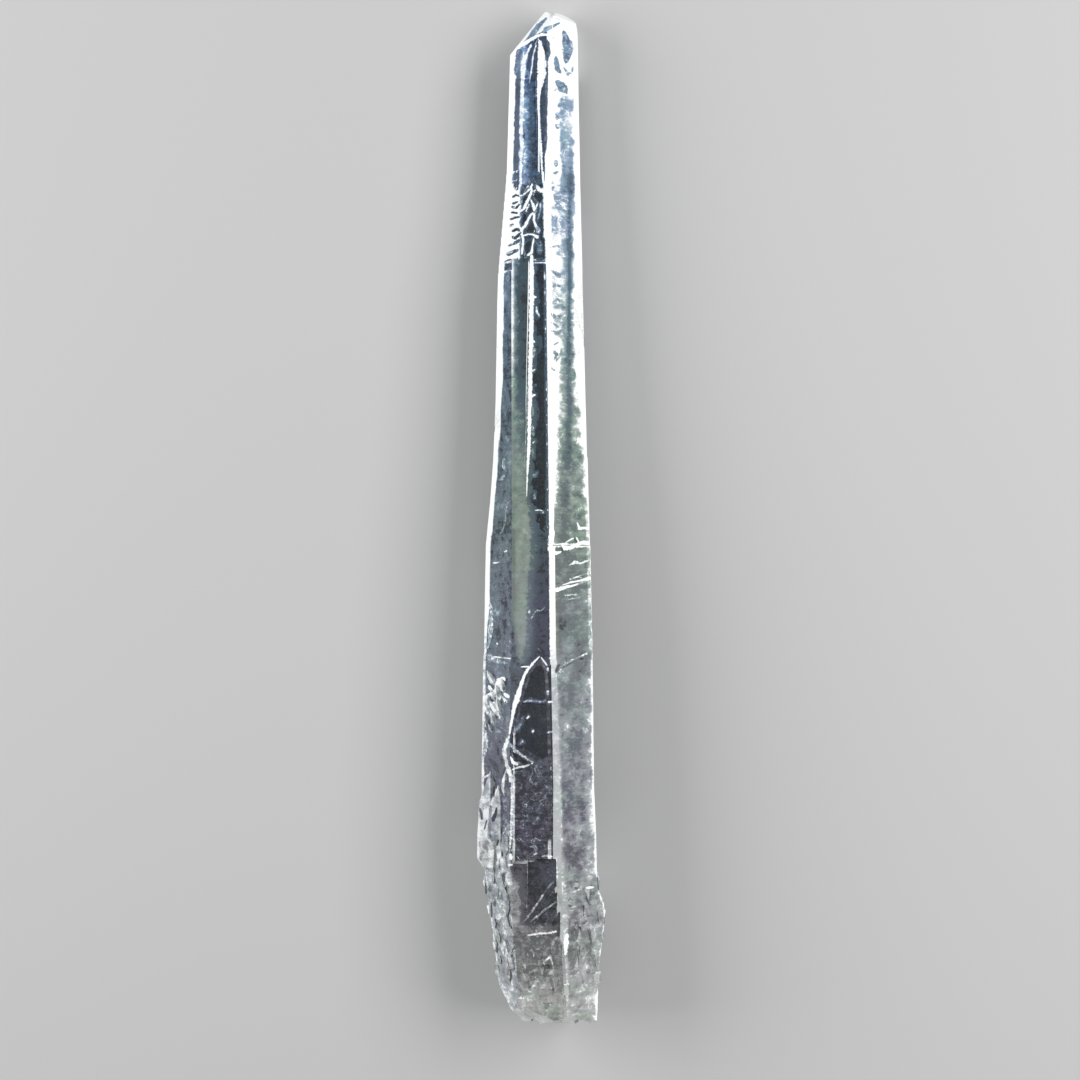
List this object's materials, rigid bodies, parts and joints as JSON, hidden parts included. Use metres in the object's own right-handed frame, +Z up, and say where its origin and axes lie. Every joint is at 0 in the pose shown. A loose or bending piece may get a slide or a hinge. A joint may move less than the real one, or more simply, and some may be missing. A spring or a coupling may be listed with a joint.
{
  "type": "quartz crystal",
  "caption": "Slender, tapering, double terminated clear quartz crystal lying on a flat prism face, with a faceted point at one end and a blunt, milky, partly broken one at the other.",
  "frame": {"origin": "middle of the crystal's bounding box, on the surface that it lies on", "axes": "+Y along the crystal towards its pointed end; +Z up, out of the prism face opposite the one it lies on; +X across it"},
  "size_m": [0.0194, 0.1498, 0.0146],
  "materials": {
    "quartz": "clear, with frosted edges and a milky blunt end"
  },
  "bodies": {
    "root": {"quartz_crystal": "quartz"}
  },
  "joints": []
}
